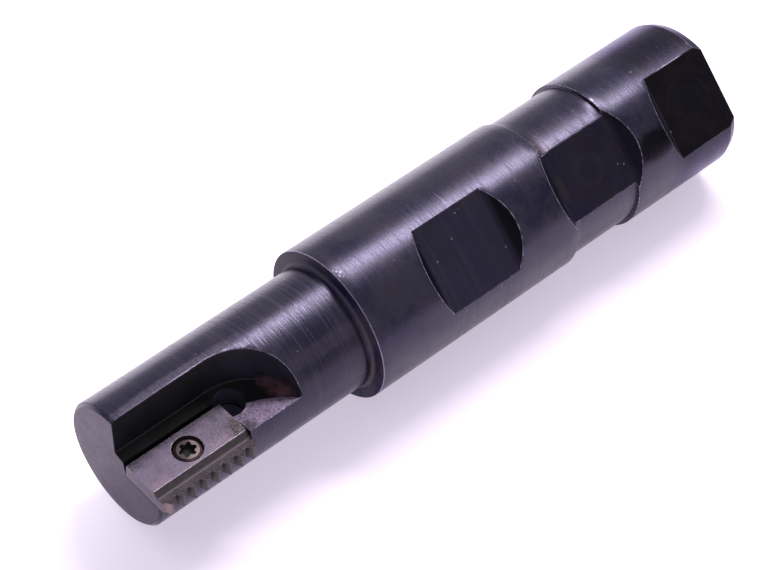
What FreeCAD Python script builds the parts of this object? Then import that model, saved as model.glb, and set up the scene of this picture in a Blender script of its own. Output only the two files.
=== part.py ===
import FreeCAD, Part
import math
import os

V = FreeCAD.Vector

# Indexable thread mill, standing on the end of its shank.
# Origin: centre of the shank's end face. +Z runs along the axis to the cutting end.
# The insert's teeth point to -X, and its rake face and screw head face -Y.
# In the cutting head, "out" is the distance from the axis towards the teeth (-X)
# and "up" is the height above the insert's seat (-Y).

# Shank, millimetres
shank_radius = 12.7
shank_length = 75.2
end_chamfer_length = 1.35
end_chamfer_depth = 0.55
shoulder_edge_break = 0.2
seam_direction = 7.5  # where the turned faces start and end, on the side away from the flats

# Groove turned round the shank, measured from the shoulder
groove_start = 39.8
groove_length = 13.3
groove_depth = 0.64

# Drive flats: one plane, three pockets with 45 degree end walls
flat_distance = 10.54
flat_direction = -135.0
flat_end_angle = 45.0
front_flat_start = 14.1
front_flat_length = 13.3
end_flat_start = 62.85

# Neck
neck_radius = 10.32
neck_length = 40.15
neck_fillet = 0.9
nose_chamfer = 0.55

# Gullet: a cone-ended taper mill run in at a slight angle to the axis, over a sloping floor
gullet_mill_radius = 10.29
gullet_mill_edge_height = 3.42
gullet_mill_end_slope = 15.6
gullet_mill_side_taper = 1.1
gullet_run = 16.48
gullet_wall_offset = 0.09
gullet_taper = -0.57
gullet_floor_height = 3.28
gullet_floor_slope = 10.5

# Thread insert
thread_pitch = 25.4 / 12
tooth_count = 8
tooth_depth = 1.05
tooth_crest = thread_pitch / 8
tooth_flank_angle = 30.0
insert_thickness = 2.85
insert_inner_edge = 2.43
insert_tip = 12.0
insert_back_lean = 8.0
chip_groove_edge = 8.86
chip_groove_root = 9.85
chip_groove_depth = 0.82
rake_angle = 11.5

# Pocket for the insert
locating_land = 0.6
pocket_wall_lean = 8.6
pocket_wall_top = 4.6
corner_relief_radius = 2.38
corner_relief_out = 3.43
corner_relief_overlap = 1.2
corner_relief_depth = 0.4

# Insert screw and its holes
screw_out = 6.05
screw_radius = 1.5
screw_length = 7.2
screw_clearance = 0.03
screw_point_chamfer = 0.35
head_radius = 2.15
head_rim_height = 0.5
head_bevel = 0.3
head_cone_half_angle = 30.0
insert_hole_radius = 1.7
counterbore_radius = 2.34
counterbore_depth = 0.35
lobe_count = 6
lobe_turn = 18.0
lobe_radius = 0.33
lobe_circle_radius = 0.98
recess_core_radius = 1.02
recess_depth = 1.1
tapped_hole_depth = 6.2
drill_point_half_angle = 59.0

# Centre hole in the shank's end
centre_hole_mouth_radius = 3.2
centre_hole_pilot_radius = 1.25
centre_hole_pilot_depth = 3.0
centre_hole_half_angle = 30.0

# Places that follow from the sizes above
nose_z = shank_length + neck_length
insert_length = tooth_count * thread_pitch
insert_back_z = nose_z - insert_length
screw_z = nose_z - insert_length / 2
gullet_mill_out = gullet_mill_radius + gullet_wall_offset
gullet_stop_z = nose_z - gullet_run
clear = 2 * shank_radius


def tangent(angle):
    return math.tan(math.radians(angle))


def head_point(out, up, z):
    """Point of the cutting head, from its distances out, up and along the axis."""
    return V(-out, -up, z)


def face_of(points):
    return Part.Face(Part.makePolygon(points + [points[0]]))


def turned(outline, base, direction):
    """Solid turned from (radius, height) points about an axis through base."""
    side = V(1, 0, 0)
    corners = [base + side * r + direction * h for r, h in outline]
    return face_of(corners).revolve(base, direction, 360)


def turned_blank():
    """Shank, groove, shoulder and neck as one turned profile, with the neck's root radius."""
    groove_top = shank_length - groove_start
    groove_bottom = groove_top - groove_length
    groove_radius = shank_radius - groove_depth
    fillet_mid = neck_fillet * (1 - math.sqrt(0.5))
    outline = [
        V(0, 0, 0),
        V(shank_radius - end_chamfer_depth, 0, 0),
        V(shank_radius, 0, end_chamfer_length),
        V(shank_radius, 0, groove_bottom),
        V(groove_radius, 0, groove_bottom),
        V(groove_radius, 0, groove_top),
        V(shank_radius, 0, groove_top),
        V(shank_radius, 0, shank_length - shoulder_edge_break),
        V(shank_radius - shoulder_edge_break, 0, shank_length),
        V(neck_radius + neck_fillet, 0, shank_length),
    ]
    fillet_end = V(neck_radius, 0, shank_length + neck_fillet)
    fillet_middle = V(neck_radius + fillet_mid, 0, shank_length + fillet_mid)
    nose = [
        fillet_end,
        V(neck_radius, 0, nose_z - nose_chamfer),
        V(neck_radius - nose_chamfer, 0, nose_z),
        V(0, 0, nose_z),
        V(0, 0, 0),
    ]
    edges = [Part.LineSegment(a, b).toShape() for a, b in zip(outline, outline[1:])]
    edges.append(Part.Arc(outline[-1], fillet_middle, fillet_end).toShape())
    edges += [Part.LineSegment(a, b).toShape() for a, b in zip(nose, nose[1:])]
    blank = Part.Face(Part.Wire(edges)).revolve(V(0, 0, 0), V(0, 0, 1), 360)
    blank.rotate(V(0, 0, 0), V(0, 0, 1), seam_direction)
    return blank


def flat_cutter(bottom_z, top_z):
    """Milling cut down to the drive flats' plane, with sloping end walls."""
    rise = shank_radius
    run = rise * tangent(90 - flat_end_angle)
    section = face_of([
        V(flat_distance, -clear, bottom_z),
        V(flat_distance, -clear, top_z),
        V(flat_distance + rise, -clear, top_z + run),
        V(flat_distance + rise, -clear, bottom_z - run),
    ])
    cutter = section.extrude(V(0, 2 * clear, 0))
    cutter.rotate(V(0, 0, 0), V(0, 0, 1), flat_direction)
    return cutter


def drive_flats():
    front_top = shank_length - front_flat_start
    groove_top = shank_length - groove_start
    end_top = shank_length - end_flat_start
    return [
        flat_cutter(front_top - front_flat_length, front_top),
        flat_cutter(groove_top - groove_length, groove_top),
        flat_cutter(-clear, end_top),
    ]


def above_gullet_floor():
    """Space over the floor, which slopes down from the neck's surface towards the axis."""
    drop = 2 * clear * tangent(gullet_floor_slope)
    edge_out = math.sqrt(neck_radius ** 2 - gullet_floor_height ** 2)
    return face_of([
        head_point(edge_out - 2 * clear, gullet_floor_height - drop, -clear),
        head_point(edge_out + 2 * clear, gullet_floor_height + drop, -clear),
        head_point(edge_out + 2 * clear, clear + drop, -clear),
        head_point(edge_out - 2 * clear, clear + drop, -clear),
    ]).extrude(V(0, 0, nose_z + 2 * clear))


def gullet_cutter():
    """Mill run in from the nose and left standing where it stops, kept above the floor."""
    r = gullet_mill_radius
    point = gullet_mill_edge_height - r * tangent(gullet_mill_end_slope)
    wide = r + (clear - gullet_mill_edge_height) * tangent(gullet_mill_side_taper)
    stop = head_point(gullet_mill_out, 0, gullet_stop_z)
    mill = turned(
        [(0, point), (r, gullet_mill_edge_height), (wide, clear), (0, clear)],
        stop, head_point(0, 1, 0))
    mill_section = [(0, point), (-r, gullet_mill_edge_height), (-wide, clear),
                    (wide, clear), (r, gullet_mill_edge_height)]
    travel = head_point(-clear * tangent(gullet_taper), 0, clear)
    slot = face_of([stop + head_point(out, up, 0) for out, up in mill_section]).extrude(travel)
    return mill.fuse(slot).common(above_gullet_floor())


def pocket_cutter():
    """Seat, locating walls and open top of the insert's pocket."""
    wall_top = insert_inner_edge - (pocket_wall_top - locating_land) * tangent(pocket_wall_lean)
    section = face_of([
        head_point(insert_inner_edge, 0, insert_back_z),
        head_point(insert_inner_edge, locating_land, insert_back_z),
        head_point(wall_top, pocket_wall_top, insert_back_z),
        head_point(clear, pocket_wall_top, insert_back_z),
        head_point(clear, 0, insert_back_z),
    ])
    return section.extrude(V(0, 0, clear))


def corner_relief_cutter():
    z = insert_back_z - corner_relief_overlap
    foot = head_point(corner_relief_out, -corner_relief_depth, z)
    height = corner_relief_depth + pocket_wall_top
    return Part.makeCylinder(corner_relief_radius, height, foot, head_point(0, 1, 0))


def tapped_hole_cutter():
    """Hole for the screw at its thread's full diameter, with a drill point."""
    point = screw_radius / tangent(drill_point_half_angle)
    return turned(
        [(0, 0), (screw_radius, 0), (screw_radius, tapped_hole_depth), (0, tapped_hole_depth + point)],
        head_point(screw_out, 0, screw_z), head_point(0, -1, 0))


def centre_hole_cutter():
    cone = (centre_hole_mouth_radius - centre_hole_pilot_radius) / tangent(centre_hole_half_angle)
    bottom = cone + centre_hole_pilot_depth
    point = centre_hole_pilot_radius / tangent(drill_point_half_angle)
    return turned(
        [(0, 0), (centre_hole_mouth_radius, 0), (centre_hole_pilot_radius, cone),
         (centre_hole_pilot_radius, bottom), (0, bottom + point)],
        V(0, 0, 0), V(0, 0, 1))


def cutter_body():
    body = turned_blank()
    cutters = drive_flats() + [gullet_cutter(), pocket_cutter(), corner_relief_cutter(),
                               tapped_hole_cutter(), centre_hole_cutter()]
    for cutter in cutters:
        body = body.cut(cutter)
    return body.removeSplitter()


def tooth_outline():
    """Plan of the insert seen square to its seat: straight back, eight 60 degree teeth in front."""
    flank = tooth_depth * tangent(tooth_flank_angle)
    root = thread_pitch - 2 * flank - tooth_crest
    root_out = insert_tip - tooth_depth
    points = [head_point(0, 0, nose_z), head_point(root_out, 0, nose_z)]
    for tooth in range(tooth_count):
        start = nose_z - tooth * thread_pitch - root / 2
        points += [
            head_point(root_out, 0, start),
            head_point(insert_tip, 0, start - flank),
            head_point(insert_tip, 0, start - flank - tooth_crest),
            head_point(root_out, 0, start - 2 * flank - tooth_crest),
        ]
    points += [head_point(root_out, 0, insert_back_z), head_point(0, 0, insert_back_z)]
    return face_of(points).extrude(head_point(0, insert_thickness, 0))


def insert_section():
    """Section of the insert: leaning back, flat top, chip groove and rake."""
    back_top = insert_inner_edge + (insert_thickness - locating_land) * tangent(insert_back_lean)
    groove_bottom = insert_thickness - chip_groove_depth
    rake_top = groove_bottom + (insert_tip - chip_groove_root) * tangent(rake_angle)
    return face_of([
        head_point(insert_inner_edge, 0, insert_back_z),
        head_point(insert_inner_edge, locating_land, insert_back_z),
        head_point(back_top, insert_thickness, insert_back_z),
        head_point(chip_groove_edge, insert_thickness, insert_back_z),
        head_point(chip_groove_root, groove_bottom, insert_back_z),
        head_point(insert_tip, rake_top, insert_back_z),
        head_point(insert_tip, 0, insert_back_z),
    ]).extrude(V(0, 0, insert_length))


def head_seat_height():
    """Height above the seat at which the screw head's rim meets the countersink."""
    cone_mouth = insert_thickness - counterbore_depth
    return cone_mouth - (counterbore_radius - head_radius) / tangent(head_cone_half_angle)


def insert_hole_cutter():
    cone_mouth = insert_thickness - counterbore_depth
    cone = (counterbore_radius - insert_hole_radius) / tangent(head_cone_half_angle)
    return turned(
        [(0, -1), (insert_hole_radius, -1), (insert_hole_radius, cone_mouth - cone),
         (counterbore_radius, cone_mouth), (counterbore_radius, insert_thickness + 1),
         (0, insert_thickness + 1)],
        head_point(screw_out, 0, screw_z), head_point(0, 1, 0))


def thread_insert():
    blank = insert_section().common(tooth_outline())
    return blank.cut(insert_hole_cutter()).removeSplitter()


def six_lobe_cutter(top):
    """Six round lobes on a core, as deep as the driver goes."""
    foot = head_point(screw_out, top - recess_depth, screw_z)
    axis = head_point(0, 1, 0)
    cutter = Part.makeCylinder(recess_core_radius, 2 * recess_depth, foot, axis)
    for lobe in range(lobe_count):
        angle = math.radians(lobe_turn + lobe * 360 / lobe_count)
        offset = V(math.cos(angle), 0, math.sin(angle)) * lobe_circle_radius
        cutter = cutter.fuse(Part.makeCylinder(lobe_radius, 2 * recess_depth, foot + offset, axis))
    return cutter.removeSplitter()


def insert_screw():
    """Countersunk screw, its head seated in the insert's cone."""
    rim = head_seat_height()
    top = rim + head_rim_height
    shank = screw_radius - screw_clearance
    neck = rim - (head_radius - shank) / tangent(head_cone_half_angle)
    tip = top - screw_length
    screw = turned(
        [(0, tip), (shank - screw_point_chamfer, tip), (shank, tip + screw_point_chamfer),
         (shank, neck), (head_radius, rim), (head_radius, top - head_bevel),
         (head_radius - head_bevel, top), (0, top)],
        head_point(screw_out, 0, screw_z), head_point(0, 1, 0))
    return screw.cut(six_lobe_cutter(top))


def write(name, shape):
    print(name, "solids", len(shape.Solids), "valid", shape.isValid(), "volume", round(shape.Volume, 2))
    shape.Solids[0].exportStep(os.path.join("parts", name + ".step"))


os.makedirs("parts", exist_ok=True)
write("cutter_body", cutter_body())
write("thread_insert", thread_insert())
write("insert_screw", insert_screw())
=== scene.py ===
import bmesh
import bpy
import math
import numpy as np
from mathutils import Matrix, Vector


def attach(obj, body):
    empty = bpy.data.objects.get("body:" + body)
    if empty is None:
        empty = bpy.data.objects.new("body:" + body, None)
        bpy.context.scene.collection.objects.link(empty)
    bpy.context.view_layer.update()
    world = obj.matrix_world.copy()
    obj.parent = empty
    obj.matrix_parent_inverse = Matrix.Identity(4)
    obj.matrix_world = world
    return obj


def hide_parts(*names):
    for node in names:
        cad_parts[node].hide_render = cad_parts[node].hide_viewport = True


# Indexable thread mill: blackened holder, carbide thread insert and its screw.
# Shapes are worked out in millimetres in the CAD's own frame and brought to metres at the end.
# In the head, "out" points to the teeth (-X) and "up" stands on the insert's seat (-Y).
# Looks are in metres, because the patterns read the finished pieces.

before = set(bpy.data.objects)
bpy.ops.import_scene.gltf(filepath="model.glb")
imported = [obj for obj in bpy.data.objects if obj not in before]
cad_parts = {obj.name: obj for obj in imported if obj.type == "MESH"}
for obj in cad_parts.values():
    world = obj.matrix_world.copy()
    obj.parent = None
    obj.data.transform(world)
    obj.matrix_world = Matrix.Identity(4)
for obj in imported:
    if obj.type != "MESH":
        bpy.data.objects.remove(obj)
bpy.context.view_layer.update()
sceneNow = bpy.context.scene
toMetres = 0.001
firstTurn = math.radians(0.47)  # keeps every turned line off the flat cuts' planes


# Shape building

def headPoint(out, up, height):
    return np.array([-out, -up, height], float)


def tangent(degrees):
    return math.tan(math.radians(degrees))


def reworkMesh(piece, change):
    shape = bmesh.new()
    shape.from_mesh(piece.data)
    change(shape)
    shape.to_mesh(piece.data)
    shape.free()
    piece.data.update()


# Solid made of rings of points: quads between neighbours, a flat cap or a point at each end.
def ringSolid(name, rings, bands=None, tips=(None, None)):
    rings = np.asarray(rings, float)
    levels, around = rings.shape[:2]
    bands = np.zeros(levels + 1, np.int32) if bands is None else np.array(bands, np.int32)
    here = np.arange(levels * around).reshape(levels, around)
    beside = np.roll(here, -1, axis=1)
    quads = np.stack([here[:-1], beside[:-1], beside[1:], here[1:]], axis=-1).reshape(-1, 4)
    points = rings.reshape(-1, 3)
    faces = quads.tolist()
    finish = np.repeat(bands[:levels - 1], around).tolist()
    for end, tip in enumerate(tips):
        ring = here[-end]
        fan = [ring.tolist()]
        if tip is not None:
            points = np.vstack([points, tip])
            fan = np.stack([ring, np.roll(ring, -1), np.full(around, len(points) - 1)], axis=-1).tolist()
        faces += fan
        finish += [bands[levels - 1 + end]] * len(fan)
    mesh = bpy.data.meshes.new(name)
    mesh.from_pydata(points.tolist(), [], faces)
    mesh.polygons.foreach_set("material_index", np.array(finish, np.int32))
    piece = bpy.data.objects.new(name, mesh)
    sceneNow.collection.objects.link(piece)
    reworkMesh(piece, lambda shape: bmesh.ops.recalc_face_normals(shape, faces=shape.faces))
    return piece


# Ring of a profile point turned about an axis: base + side * r cos a + across * r sin a + axis * h.
def turnedSolid(name, profile, base, axis, around, bands=None, tips=(None, None)):
    profile = np.asarray(profile, float)
    axis, side = np.asarray(axis, float), np.array([1.0, 0.0, 0.0])
    angle = np.linspace(0, 2 * math.pi, around, endpoint=False) + firstTurn
    circle = np.cos(angle)[:, None] * side + np.sin(angle)[:, None] * np.cross(axis, side)
    rings = base + profile[:, :1, None] * circle[None] + profile[:, 1:2, None] * axis
    return ringSolid(name, rings, bands, [None if tip is None else base + axis * tip for tip in tips])


# Prism: one outline at both ends of a straight travel.
def prism(name, outline, travel):
    outline = np.asarray(outline, float)
    return ringSolid(name, np.stack([outline, outline + np.asarray(travel, float)]))


# Long sides of a profile cut into equal shares, each no longer than the limit.
def splitLong(profile, bands, limit):
    shares = np.ceil(np.linalg.norm(np.diff(profile, axis=0), axis=1) / limit).astype(int)
    start = np.repeat(np.arange(len(shares)), shares)
    place = np.arange(len(start)) - np.repeat(np.cumsum(shares) - shares, shares)
    along = (place / shares[start])[:, None]
    points = profile[start] + (profile[start + 1] - profile[start]) * along
    return np.vstack([points, profile[-1]]), np.array(bands[:-2])[start].tolist() + bands[-2:]


def bakeModifiers(piece):
    bpy.context.view_layer.update()
    seen = piece.evaluated_get(bpy.context.evaluated_depsgraph_get())
    mesh = bpy.data.meshes.new_from_object(seen)
    piece.modifiers.clear()
    piece.data = mesh


def combine(piece, tool, operation="DIFFERENCE"):
    step = piece.modifiers.new("combine", "BOOLEAN")
    step.solver = "EXACT"
    step.operation = operation
    step.material_mode = "TRANSFER"
    step.object = tool
    bakeModifiers(piece)
    bpy.data.objects.remove(tool)


# Short edges go: a point close to a sharp edge is welded into that edge's own point, which stays put.
def mergeSlivers(piece, s):
    def change(shape):
        bmesh.ops.remove_doubles(shape, verts=shape.verts, dist=s["same"])
        sharpTurn = math.radians(20)
        sharp = {v for e in shape.edges if e.calc_face_angle(0) > sharpTurn for v in e.verts}
        welds = {}
        for edge in shape.edges:
            a, b = edge.verts
            if edge.calc_length() < s["beside"] and (a in sharp) != (b in sharp):
                welds[b if a in sharp else a] = a if a in sharp else b
        bmesh.ops.weld_verts(shape, targetmap=welds)
        bmesh.ops.remove_doubles(shape, verts=[v for v in shape.verts if v in sharp], dist=s["along"])
        bmesh.ops.dissolve_degenerate(shape, edges=shape.edges, dist=s["thin"])
        print("short edges welded", len(welds))
    reworkMesh(piece, change)


# Edges that turn by more than an angle, outwards or inwards, get a small round.
def roundEdges(piece, width, steps, fromAngle, outwards=True, finish=-1):
    def weigh(shape):
        layers = shape.edges.layers.float
        layer = layers.get("bevel_weight_edge") or layers.new("bevel_weight_edge")
        sense = 1 if outwards else -1
        for edge in shape.edges:
            edge[layer] = float(edge.calc_face_angle_signed(0) * sense > math.radians(fromAngle))
    reworkMesh(piece, weigh)
    bevel = piece.modifiers.new("edges", "BEVEL")
    bevel.limit_method = "WEIGHT"
    bevel.width = width
    bevel.segments = steps
    bevel.use_clamp_overlap = False
    bevel.miter_outer = "MITER_SHARP"
    bevel.material = finish
    bakeModifiers(piece)


def dress(piece, *materials):
    for material in materials:
        piece.data.materials.append(material)
    return piece


# One vector per face, such as its normal or middle.
def faceVectors(mesh, key):
    values = np.empty(len(mesh.polygons) * 3)
    mesh.polygons.foreach_get(key, values)
    return values.reshape(-1, 3).T


def finishPiece(piece, node):
    mesh = piece.data
    mesh.transform(Matrix.Scale(toMetres, 4))
    mesh.attributes.remove(mesh.attributes["bevel_weight_edge"])
    mesh.shade_smooth()
    mesh.set_sharp_from_angle(angle=math.radians(35))
    weigh = piece.modifiers.new("normals", "WEIGHTED_NORMAL")
    weigh.keep_sharp = True
    bakeModifiers(piece)
    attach(piece, "root")
    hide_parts(node)
    print(piece.name, "faces", len(piece.data.polygons))


# Shader building: a value or colour that changes over a surface. Sums, products and ranges of it add nodes.
class field:
    def __init__(self, tree, socket):
        self.tree, self.socket = tree, socket

    def __add__(self, other):
        return calc(self.tree, "ADD", self, other)

    def __sub__(self, other):
        return calc(self.tree, "SUBTRACT", self, other)

    def __rsub__(self, other):
        return calc(self.tree, "SUBTRACT", other, self)

    def __mul__(self, other):
        return calc(self.tree, "MULTIPLY", self, other)

    def __abs__(self):
        return calc(self.tree, "ABSOLUTE", self)

    def ramp(self, low, high, start=0.0, end=1.0):
        inputs = {"Value": self, "From Min": low, "From Max": high, "To Min": start, "To Max": end}
        return addValue(self.tree, "MapRange", inputs, interpolation_type="SMOOTHSTEP")


def feed(value, socket):
    if isinstance(value, field):
        value.tree.links.new(value.socket, socket)
    else:
        socket.default_value = value


def addNode(tree, kind, inputs, **settings):
    node = tree.nodes.new("ShaderNode" + kind)
    for key, value in settings.items():
        setattr(node, key, value)
    for key, value in inputs.items():
        feed(value, node.inputs[key])
    return node


def addValue(tree, kind, inputs, output=0, **settings):
    return field(tree, addNode(tree, kind, inputs, **settings).outputs[output])


def calc(tree, operation, first, second=0.0):
    return addValue(tree, "Math", {0: first, 1: second}, operation=operation)


def larger(first, *others):
    for other in others:
        first = calc(first.tree, "MAXIMUM", first, other)
    return first


def vectorMath(operation, first, second=(0.0, 0.0, 0.0), output="Vector"):
    return addValue(first.tree, "VectorMath", {0: first, 1: second}, output, operation=operation)


def length(vector):
    return vectorMath("LENGTH", vector, output="Value")


def joined(tree, *parts):
    return addValue(tree, "CombineXYZ", dict(enumerate(parts)))


def split(vector):
    outputs = addNode(vector.tree, "SeparateXYZ", {0: vector}).outputs
    return [field(vector.tree, socket) for socket in outputs]


def blend(share, first, second):
    first, second = ((*c, 1) if isinstance(c, tuple) else c for c in (first, second))
    return addValue(share.tree, "Mix", {0: share, 6: first, 7: second}, 2, data_type="RGBA")


def spot(tree, stretch=(1, 1, 1), turn=(0, 0, 0)):
    place = addValue(tree, "TexCoord", {}, "Object")
    return addValue(tree, "Mapping", {"Vector": place, "Rotation": turn, "Scale": stretch})


def surfaceNormal(tree):
    return addValue(tree, "NewGeometry", {}, "Normal")


def fromAxis(x, y):
    return calc(x.tree, "SQRT", x * x + y * y)


def noise(vector, scale, detail=4.0, rough=0.55):
    inputs = {"Vector": vector, "Scale": scale, "Detail": detail, "Roughness": rough}
    return addValue(vector.tree, "TexNoise", inputs)


def openSky(tree, reach, samples):
    return addValue(tree, "AmbientOcclusion", {"Distance": reach}, "AO", samples=samples)


# Shader group named after the function that fills it, which returns a value for each output.
# Called with a tree and values for its inputs in order, it gives its one output, or all by label.
def shaderGroup(*outputs, **inputs):
    def build(fill):
        inner = bpy.data.node_groups.new(fill.__name__, "ShaderNodeTree")
        for label, value in inputs.items():
            kind = "NodeSocketFloat" if isinstance(value, float) else "NodeSocketVector"
            inner.interface.new_socket(label, in_out="INPUT", socket_type=kind).default_value = value
        for label in outputs:
            inner.interface.new_socket(label, in_out="OUTPUT", socket_type="NodeSocketFloat")
        sockets = inner.nodes.new("NodeGroupInput").outputs
        made = fill(inner, *[field(inner, sockets[label]) for label in inputs])
        results = inner.nodes.new("NodeGroupOutput").inputs
        for label, value in zip(outputs, made):
            feed(value, results[label])

        def use(tree, *values, **named):
            given = {**inputs, **dict(zip(inputs, values)), **named}
            node = addNode(tree, "Group", given, node_tree=inner)
            found = {label: field(tree, node.outputs[label]) for label in outputs}
            return found if len(outputs) > 1 else found[outputs[0]]
        return use
    return build


# Cloudy patches: noise with its middle stretched to the full range.
@shaderGroup("Mask", Scale=100.0, Softness=0.16, Shift=(0.0, 0.0, 0.0))
def cloudy(tree, scale, softness, shift):
    value = noise(vectorMath("ADD", spot(tree), shift), scale, 6.0, 0.62)
    return [value.ramp(0.5 - softness, softness + 0.5)]


# Turning lines: noise that changes fast along the axis and the radius, slowly round the axis.
@shaderGroup("Height", "Streaks", Spacing=5000.0, Break=60.0)
def turnedLines(tree, spacing, breaks):
    x, y, z = split(spot(tree))
    place = joined(tree, x * breaks, y * breaks, (z + fromAxis(x, y)) * spacing)
    return [noise(place, 1.0, 2.0), noise(place, 0.45, 1.0).ramp(0.52, 0.66)]


# Wear beside outward edges: how far a rounded normal leans from the true one, off where it is sheltered.
@shaderGroup("Mask", Reach=0.0004, Chips=900.0)
def edgeWear(tree, reach, chips):
    soft = addValue(tree, "Bevel", {"Radius": reach}, samples=6)
    lean = (1.0 - vectorMath("DOT_PRODUCT", soft, surfaceNormal(tree), "Value")).ramp(0.01, 0.18)
    uneven = noise(spot(tree), chips, 5.0, 0.7).ramp(0.42, 0.6)
    return [lean * uneven * openSky(tree, 0.0012, 6).ramp(0.86, 0.97)]


# Dirt and painted shade in corners: one less the share of open sky close by, broken up by noise.
@shaderGroup("Mask", Reach=0.0012, Start=0.1, End=0.6)
def dirtAndShadeInCorners(tree, reach, start, end):
    uneven = noise(spot(tree), 1400.0).ramp(0.3, 0.7, -0.12, 0.12)
    shelter = 1.0 - openSky(tree, reach, 8)
    return [(shelter + uneven).ramp(start, end)]


# Specks: cells near their own centres, kept where the cell's random tone is under a share.
@shaderGroup("Mask", "Tone", Scale=600.0, Share=0.2, Size=0.16)
def specks(tree, scale, share, size):
    cells = addNode(tree, "TexVoronoi", {"Vector": spot(tree), "Scale": scale}).outputs
    tone = split(field(tree, cells["Color"]))
    near = field(tree, cells["Distance"]).ramp(size, size * 0.55)
    return [near * calc(tree, "LESS_THAN", tone[0], share), tone[1]]


# Stain: an ellipsoid about a place, its edge pushed in and out by noise.
@shaderGroup("Mask", Place=(0.0, 0.0, 0.0), Reach=(0.001, 0.001, 0.001), Ragged=0.6, Scale=900.0)
def stained(tree, place, reach, ragged, scale):
    away = vectorMath("DIVIDE", vectorMath("SUBTRACT", spot(tree), place), reach)
    uneven = (noise(spot(tree), scale, 6.0, 0.65) - 0.5) * ragged
    return [(length(away) + uneven * 3.0).ramp(1.15, 0.55)]


# Milling arcs: noise along the distance from a centre, almost steady round it.
@shaderGroup("Height", "Bands", Centre=(0.0, 0.0, 0.0), Spacing=2600.0)
def millArcs(tree, centre, spacing):
    away = vectorMath("SUBTRACT", spot(tree), centre)
    ringed = joined(tree, length(away) * spacing)
    place = vectorMath("ADD", vectorMath("MULTIPLY", away, (90.0, 90.0, 90.0)), ringed)
    return [noise(place, 1.0, 2.0), noise(place, 0.3, 1.0).ramp(0.48, 0.68)]


# Thin ring left by a cutter: peak of the distance from a centre at one radius, broken up by noise.
@shaderGroup("Mask", Centre=(0.0, 0.0, 0.0), Radius=0.005)
def ringLine(tree, centre, radius):
    off = abs(length(vectorMath("SUBTRACT", spot(tree), centre)) - radius)
    return [off.ramp(0.00016, 0.00003) * noise(spot(tree), 190.0, 2.0).ramp(0.42, 0.62)]


# Hair scratches: noise drawn out along one way, only its peaks kept.
@shaderGroup("Mask", Turn=(0.0, 0.0, 0.0), Keep=0.7)
def scratched(tree, turn, keep):
    value = noise(spot(tree, (160.0, 2600.0, 2600.0), turn), 1.0, 1.0)
    return [value.ramp(keep, keep + 0.05)]


print("shader groups ready")


# Material with its fixed gloss and tint on the shader's own sockets.
def newMaterial(name, level=0.5, tint=(1.0, 1.0, 1.0, 1.0)):
    material = bpy.data.materials.new(name)
    material.use_nodes = True
    shader = material.node_tree.nodes["Principled BSDF"].inputs
    feed(level, shader["Specular IOR Level"])
    feed(tint, shader["Specular Tint"])
    return material, material.node_tree


def dressMaterial(material, colour, metallic, roughness, height=None, depth=0.0):
    shader = material.node_tree.nodes["Principled BSDF"].inputs
    feed(colour, shader["Base Color"])
    feed(metallic, shader["Metallic"])
    feed(roughness, shader["Roughness"])
    if height is not None:
        inputs = {"Strength": 1.0, "Distance": depth, "Height": height}
        feed(addValue(height.tree, "Bump", inputs), shader["Normal"])
    return material


# Holder body

bodySizes = {
    "shankRadius": 12.688,
    "shankLength": 75.4,
    "endChamfer": (0.55, 1.35),
    "endFaceRadius": 8.0,
    "grooveSpan": (22.1, 35.4),
    "grooveDepth": 0.64,
    "flatDistance": 10.54,
    "flatDirection": -135.0,
    "flatSpans": ((47.8, 61.1), (22.1, 35.4), (-30.0, 12.35)),
    "flatCutWidth": 40.0,
    "neckRadius": 10.32,
    "neckFillet": 0.9,
    "noseHeight": 115.35,
    "noseChamfer": 0.55,
    "centreHole": ((3.777, -1.0), (3.2, 0.0), (1.25, 3.377), (1.25, 6.377)),
    "centreHoleTip": 7.128,
    "turns": 288,
    "holeTurns": 96,
    "bandLength": 1.85,
    "edgeBreak": 0.09,
    "hollowRadius": 0.12,
    "strayLimit": 0.01,
    "slivers": {"same": 0.012, "beside": 0.1, "along": 0.045, "thin": 0.02},
}


# Shank, groove, shoulder, root fillet and neck as one profile turned about the axis.
# The fillet is a quarter circle: middle - r sin a outwards, middle - r cos a along.
def turnedBlank():
    s = bodySizes
    radius, neck, inner = s["shankRadius"], s["neckRadius"], s["endFaceRadius"]
    low, high = s["grooveSpan"]
    grooveRadius = radius - s["grooveDepth"]
    depth, length = s["endChamfer"]
    top, nose, lead = s["shankLength"], s["noseHeight"], s["noseChamfer"]
    fillet, angle = s["neckFillet"], np.linspace(0, math.pi / 2, 13)
    arc = np.stack([neck + fillet - fillet * np.sin(angle), top + fillet - fillet * np.cos(angle)], axis=1)
    profile = np.vstack([
        [(inner, 0), (radius - depth, 0), (radius, length), (radius, low), (grooveRadius, low),
         (grooveRadius, high), (radius, high), (radius, top)],
        arc,
        [(neck, nose - lead), (neck - lead, nose), (inner, nose)],
    ])
    bands = [0] * 7 + [4] * len(arc) + [5] * 2 + [1, 0, 1]
    profile, bands = splitLong(profile, bands, s["bandLength"])
    return turnedSolid("cutterBodyShape", profile, np.zeros(3), (0, 0, 1), s["turns"], bands)


# Cut down to the flats' plane: a trapezium with 45 degree ends, drawn along the flat.
def flatCutter(low, high):
    s = bodySizes
    turn = math.radians(s["flatDirection"])
    outward = np.array([math.cos(turn), math.sin(turn), 0])
    along = np.array([-math.sin(turn), math.cos(turn), 0]) * s["flatCutWidth"]
    rise = s["shankRadius"]
    section = [(0, low), (0, high), (rise, high + rise), (rise, low - rise)]
    outline = [outward * (s["flatDistance"] + out) + np.array([0, 0, z]) - along / 2 for out, z in section]
    return prism("flatCutter", outline, along)


def centreHoleCutter():
    s = bodySizes
    return turnedSolid("centreHole", s["centreHole"], np.zeros(3), (0, 0, 1), s["holeTurns"],
                       tips=(None, s["centreHoleTip"]))


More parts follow.
